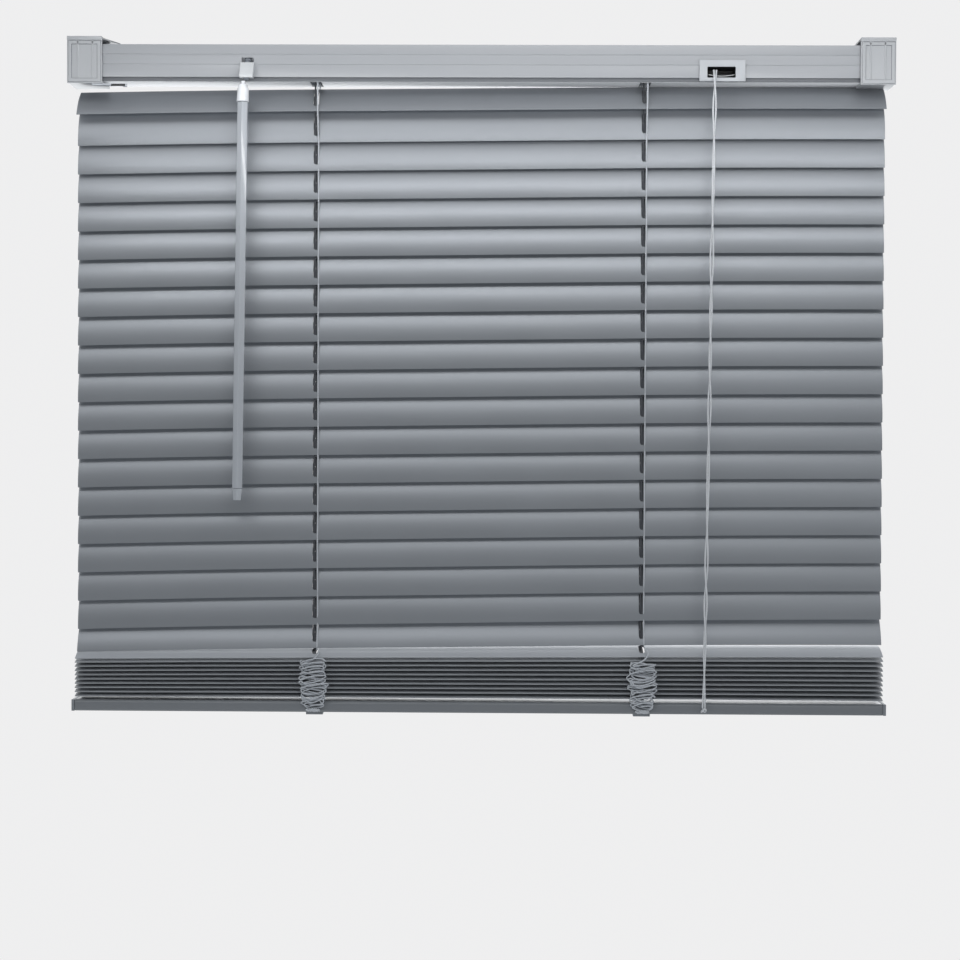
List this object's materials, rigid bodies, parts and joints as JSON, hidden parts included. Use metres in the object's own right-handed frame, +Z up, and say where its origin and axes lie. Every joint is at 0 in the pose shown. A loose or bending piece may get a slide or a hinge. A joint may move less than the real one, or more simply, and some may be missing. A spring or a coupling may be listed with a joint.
{
  "type": "venetian blind",
  "caption": "Grey horizontal-slat window blind, slats closed and partly raised, with headrail, end brackets, tilt wand, pull cord, cord ladders and bottom rail.",
  "frame": {"origin": "centre of the headrail's flat back face", "axes": "+X along the headrail to the viewer's right, +Y from the room towards the wall, +Z up"},
  "size_m": [0.61, 0.0372, 0.502],
  "materials": {
    "rail_paint": "satin grey paint",
    "slat_vinyl": "satin silver-grey vinyl",
    "bracket_metal": "light grey coated steel",
    "rod_steel": "drawn steel",
    "white_plastic": "fine matt",
    "grey_plastic": "moulded satin",
    "wand_plastic": "glossy translucent grey",
    "cord_fabric": "braided polyester"
  },
  "bodies": {
    "headrail": {"headrail_channel": "rail_paint", "bracket_left": "bracket_metal", "bracket_right": "bracket_metal", "cord_lock_body": "white_plastic", "drum_cradle_left": "grey_plastic", "drum_cradle_right": "grey_plastic", "tilter_housing": "white_plastic", "wand_sleeve": "grey_plastic", "ladder_left": "cord_fabric", "ladder_right": "cord_fabric", "lift_cord_left": "cord_fabric", "lift_cord_right": "cord_fabric", "pull_cord": "cord_fabric"},
    "door_left": {"bracket_door_left": "bracket_metal"},
    "door_right": {"bracket_door_right": "bracket_metal"},
    "latch_left": {"bracket_latch_left": "white_plastic"},
    "lock_roller": {"cord_lock_roller": "grey_plastic"},
    "tilt_shaft": {"tilt_rod": "rod_steel", "ladder_drum_left": "white_plastic", "ladder_drum_right": "white_plastic", "tilter_gear": "white_plastic"},
    "worm": {"tilter_worm": "grey_plastic"},
    "wand_hanger": {"wand_connector": "white_plastic"},
    "wand": {"tilt_wand": "wand_plastic", "wand_tip": "wand_plastic"},
    "bottom_bar": {"bottom_rail": "rail_paint", "rail_cap_left": "grey_plastic", "rail_cap_right": "grey_plastic", "rail_plug_left": "grey_plastic", "rail_plug_right": "grey_plastic"},
    "slat_01": {"slat_01": "slat_vinyl"},
    "slat_02": {"slat_02": "slat_vinyl"},
    "slat_03": {"slat_03": "slat_vinyl"},
    "slat_04": {"slat_04": "slat_vinyl"},
    "slat_05": {"slat_05": "slat_vinyl"},
    "slat_06": {"slat_06": "slat_vinyl"},
    "slat_07": {"slat_07": "slat_vinyl"},
    "slat_08": {"slat_08": "slat_vinyl"},
    "slat_09": {"slat_09": "slat_vinyl"},
    "slat_10": {"slat_10": "slat_vinyl"},
    "slat_11": {"slat_11": "slat_vinyl"},
    "slat_12": {"slat_12": "slat_vinyl"},
    "slat_13": {"slat_13": "slat_vinyl"},
    "slat_14": {"slat_14": "slat_vinyl"},
    "slat_15": {"slat_15": "slat_vinyl"},
    "slat_16": {"slat_16": "slat_vinyl"},
    "slat_17": {"slat_17": "slat_vinyl"},
    "slat_18": {"slat_18": "slat_vinyl"},
    "slat_19": {"slat_19": "slat_vinyl"},
    "slat_20": {"slat_20": "slat_vinyl"},
    "stack_slat_01": {"stack_slat_01": "slat_vinyl"},
    "stack_slat_02": {"stack_slat_02": "slat_vinyl"},
    "stack_slat_03": {"stack_slat_03": "slat_vinyl"},
    "stack_slat_04": {"stack_slat_04": "slat_vinyl"},
    "stack_slat_05": {"stack_slat_05": "slat_vinyl"},
    "stack_slat_06": {"stack_slat_06": "slat_vinyl"},
    "stack_slat_07": {"stack_slat_07": "slat_vinyl"},
    "stack_slat_08": {"stack_slat_08": "slat_vinyl"},
    "stack_slat_09": {"stack_slat_09": "slat_vinyl"},
    "stack_slat_10": {"stack_slat_10": "slat_vinyl"}
  },
  "joints": [
    {"name": "tilt_rod_spin", "type": "hinge", "parent": "headrail", "child": "tilt_shaft", "pos_m": [0, -0.0125, 0], "axis": [1, 0, 0], "range_deg": [-152, 0], "deforming": ["ladder_left", "ladder_right"]},
    {"name": "slat_01_tilt", "type": "hinge", "parent": "headrail", "child": "slat_01", "pos_m": [0, -0.0125, -0.0237], "axis": [1, 0, 0], "range_deg": [-98.5, 0.5]},
    {"name": "slat_02_tilt", "type": "hinge", "parent": "headrail", "child": "slat_02", "pos_m": [0, -0.0125, -0.0429], "axis": [1, 0, 0], "range_deg": [-152.5, 0.5]},
    {"name": "slat_03_tilt", "type": "hinge", "parent": "headrail", "child": "slat_03", "pos_m": [0, -0.0125, -0.064], "axis": [1, 0, 0], "range_deg": [-152.5, 0.5]},
    {"name": "slat_04_tilt", "type": "hinge", "parent": "headrail", "child": "slat_04", "pos_m": [0, -0.0125, -0.0851], "axis": [1, 0, 0], "range_deg": [-152.5, 0.5]},
    {"name": "slat_05_tilt", "type": "hinge", "parent": "headrail", "child": "slat_05", "pos_m": [0, -0.0125, -0.1062], "axis": [1, 0, 0], "range_deg": [-152.5, 0.5]},
    {"name": "slat_06_tilt", "type": "hinge", "parent": "headrail", "child": "slat_06", "pos_m": [0, -0.0125, -0.1273], "axis": [1, 0, 0], "range_deg": [-152.5, 0.5]},
    {"name": "slat_07_tilt", "type": "hinge", "parent": "headrail", "child": "slat_07", "pos_m": [0, -0.0125, -0.1484], "axis": [1, 0, 0], "range_deg": [-152.5, 0.5]},
    {"name": "slat_08_tilt", "type": "hinge", "parent": "headrail", "child": "slat_08", "pos_m": [0, -0.0125, -0.1695], "axis": [1, 0, 0], "range_deg": [-152.5, 0.5]},
    {"name": "slat_09_tilt", "type": "hinge", "parent": "headrail", "child": "slat_09", "pos_m": [0, -0.0125, -0.1906], "axis": [1, 0, 0], "range_deg": [-152.5, 0.5]},
    {"name": "slat_10_tilt", "type": "hinge", "parent": "headrail", "child": "slat_10", "pos_m": [0, -0.0125, -0.2117], "axis": [1, 0, 0], "range_deg": [-152.5, 0.5]},
    {"name": "slat_11_tilt", "type": "hinge", "parent": "headrail", "child": "slat_11", "pos_m": [0, -0.0125, -0.2328], "axis": [1, 0, 0], "range_deg": [-152.5, 0.5]},
    {"name": "slat_12_tilt", "type": "hinge", "parent": "headrail", "child": "slat_12", "pos_m": [0, -0.0125, -0.2539], "axis": [1, 0, 0], "range_deg": [-152.5, 0.5]},
    {"name": "slat_13_tilt", "type": "hinge", "parent": "headrail", "child": "slat_13", "pos_m": [0, -0.0125, -0.275], "axis": [1, 0, 0], "range_deg": [-152.5, 0.5]},
    {"name": "slat_14_tilt", "type": "hinge", "parent": "headrail", "child": "slat_14", "pos_m": [0, -0.0125, -0.2961], "axis": [1, 0, 0], "range_deg": [-152.5, 0.5]},
    {"name": "slat_15_tilt", "type": "hinge", "parent": "headrail", "child": "slat_15", "pos_m": [0, -0.0125, -0.3172], "axis": [1, 0, 0], "range_deg": [-152.5, 0.5]},
    {"name": "slat_16_tilt", "type": "hinge", "parent": "headrail", "child": "slat_16", "pos_m": [0, -0.0125, -0.3383], "axis": [1, 0, 0], "range_deg": [-152.5, 0.5]},
    {"name": "slat_17_tilt", "type": "hinge", "parent": "headrail", "child": "slat_17", "pos_m": [0, -0.0125, -0.3594], "axis": [1, 0, 0], "range_deg": [-152.5, 0.5]},
    {"name": "slat_18_tilt", "type": "hinge", "parent": "headrail", "child": "slat_18", "pos_m": [0, -0.0125, -0.3805], "axis": [1, 0, 0], "range_deg": [-152.5, 0.5]},
    {"name": "slat_19_tilt", "type": "hinge", "parent": "headrail", "child": "slat_19", "pos_m": [0, -0.0125, -0.4016], "axis": [1, 0, 0], "range_deg": [-152.5, 0.5]},
    {"name": "slat_20_tilt", "type": "hinge", "parent": "headrail", "child": "slat_20", "pos_m": [0, -0.0125, -0.42], "axis": [1, 0, 0], "range_deg": [-120.5, 0.5]},
    {"name": "worm_spin", "type": "hinge", "parent": "headrail", "child": "worm", "pos_m": [-0.172, -0.031, -0.013], "axis": [0, 0.5299, 0.848], "range_deg": [-2130, 1]},
    {"name": "wand_swing", "type": "hinge", "parent": "headrail", "child": "wand_hanger", "pos_m": [-0.1744, -0.031, -0.0146], "axis": [1, 0, 0], "range_deg": [-60, 0]},
    {"name": "wand_spin", "type": "hinge", "parent": "wand_hanger", "child": "wand", "pos_m": [-0.1744, -0.031, -0.0146], "axis": [0.0122, 0, 0.9999], "range_deg": [-2130, 1]},
    {"name": "door_left_hinge", "type": "hinge", "parent": "headrail", "child": "door_left", "pos_m": [-0.29215, -0.0256, 0.0187], "axis": [1, 0, 0], "range_deg": [-100, 0]},
    {"name": "door_right_hinge", "type": "hinge", "parent": "headrail", "child": "door_right", "pos_m": [0.29215, -0.0256, 0.0187], "axis": [1, 0, 0], "range_deg": [-100, 0]},
    {"name": "latch_slide", "type": "slide", "parent": "headrail", "child": "latch_left", "axis": [1, 0, 0], "range_m": [-0.008, 0]},
    {"name": "lock_roller_spin", "type": "hinge", "parent": "headrail", "child": "lock_roller", "pos_m": [0.1773, -0.0222, -0.0084], "axis": [1, 0, 0], "continuous": true},
    {"name": "lift", "type": "slide", "parent": "headrail", "child": "bottom_bar", "axis": [0, 0, 1], "range_m": [-0.1842, 0], "deforming": ["lift_cord_left", "lift_cord_right", "pull_cord"]},
    {"name": "stack_slat_01_drop", "type": "slide", "parent": "headrail", "child": "stack_slat_01", "axis": [0, 0, 1], "range_m": [-0.0102, 0.0005]},
    {"name": "stack_slat_02_drop", "type": "slide", "parent": "headrail", "child": "stack_slat_02", "axis": [0, 0, 1], "range_m": [-0.0254, 0.0005]},
    {"name": "stack_slat_03_drop", "type": "slide", "parent": "headrail", "child": "stack_slat_03", "axis": [0, 0, 1], "range_m": [-0.0431, 0.0005]},
    {"name": "stack_slat_04_drop", "type": "slide", "parent": "headrail", "child": "stack_slat_04", "axis": [0, 0, 1], "range_m": [-0.0608, 0.0005]},
    {"name": "stack_slat_05_drop", "type": "slide", "parent": "headrail", "child": "stack_slat_05", "axis": [0, 0, 1], "range_m": [-0.0785, 0.0005]},
    {"name": "stack_slat_06_drop", "type": "slide", "parent": "headrail", "child": "stack_slat_06", "axis": [0, 0, 1], "range_m": [-0.0962, 0.0005]},
    {"name": "stack_slat_07_drop", "type": "slide", "parent": "headrail", "child": "stack_slat_07", "axis": [0, 0, 1], "range_m": [-0.1139, 0.0005]},
    {"name": "stack_slat_08_drop", "type": "slide", "parent": "headrail", "child": "stack_slat_08", "axis": [0, 0, 1], "range_m": [-0.1316, 0.0005]},
    {"name": "stack_slat_09_drop", "type": "slide", "parent": "headrail", "child": "stack_slat_09", "axis": [0, 0, 1], "range_m": [-0.1493, 0.0005]},
    {"name": "stack_slat_10_drop", "type": "slide", "parent": "headrail", "child": "stack_slat_10", "axis": [0, 0, 1], "range_m": [-0.167, 0.0005]}
  ],
  "couplings": [
    {"joint": "slat_01_tilt", "follows": "tilt_rod_spin", "ratio": 0.64474},
    {"joint": "slat_02_tilt", "follows": "tilt_rod_spin", "ratio": 1},
    {"joint": "slat_03_tilt", "follows": "tilt_rod_spin", "ratio": 1},
    {"joint": "slat_04_tilt", "follows": "tilt_rod_spin", "ratio": 1},
    {"joint": "slat_05_tilt", "follows": "tilt_rod_spin", "ratio": 1},
    {"joint": "slat_06_tilt", "follows": "tilt_rod_spin", "ratio": 1},
    {"joint": "slat_07_tilt", "follows": "tilt_rod_spin", "ratio": 1},
    {"joint": "slat_08_tilt", "follows": "tilt_rod_spin", "ratio": 1},
    {"joint": "slat_09_tilt", "follows": "tilt_rod_spin", "ratio": 1},
    {"joint": "slat_10_tilt", "follows": "tilt_rod_spin", "ratio": 1},
    {"joint": "slat_11_tilt", "follows": "tilt_rod_spin", "ratio": 1},
    {"joint": "slat_12_tilt", "follows": "tilt_rod_spin", "ratio": 1},
    {"joint": "slat_13_tilt", "follows": "tilt_rod_spin", "ratio": 1},
    {"joint": "slat_14_tilt", "follows": "tilt_rod_spin", "ratio": 1},
    {"joint": "slat_15_tilt", "follows": "tilt_rod_spin", "ratio": 1},
    {"joint": "slat_16_tilt", "follows": "tilt_rod_spin", "ratio": 1},
    {"joint": "slat_17_tilt", "follows": "tilt_rod_spin", "ratio": 1},
    {"joint": "slat_18_tilt", "follows": "tilt_rod_spin", "ratio": 1},
    {"joint": "slat_19_tilt", "follows": "tilt_rod_spin", "ratio": 1},
    {"joint": "slat_20_tilt", "follows": "tilt_rod_spin", "ratio": 0.78947},
    {"joint": "worm_spin", "follows": "tilt_rod_spin", "ratio": 14},
    {"joint": "wand_spin", "follows": "tilt_rod_spin", "ratio": 14},
    {"joint": "stack_slat_01_drop", "follows": "lift", "ratio": 0.05266},
    {"joint": "stack_slat_02_drop", "follows": "lift", "ratio": 0.13518},
    {"joint": "stack_slat_03_drop", "follows": "lift", "ratio": 0.23127},
    {"joint": "stack_slat_04_drop", "follows": "lift", "ratio": 0.32736},
    {"joint": "stack_slat_05_drop", "follows": "lift", "ratio": 0.42345},
    {"joint": "stack_slat_06_drop", "follows": "lift", "ratio": 0.51954},
    {"joint": "stack_slat_07_drop", "follows": "lift", "ratio": 0.61564},
    {"joint": "stack_slat_08_drop", "follows": "lift", "ratio": 0.71173},
    {"joint": "stack_slat_09_drop", "follows": "lift", "ratio": 0.80782},
    {"joint": "stack_slat_10_drop", "follows": "lift", "ratio": 0.90391}
  ]
}
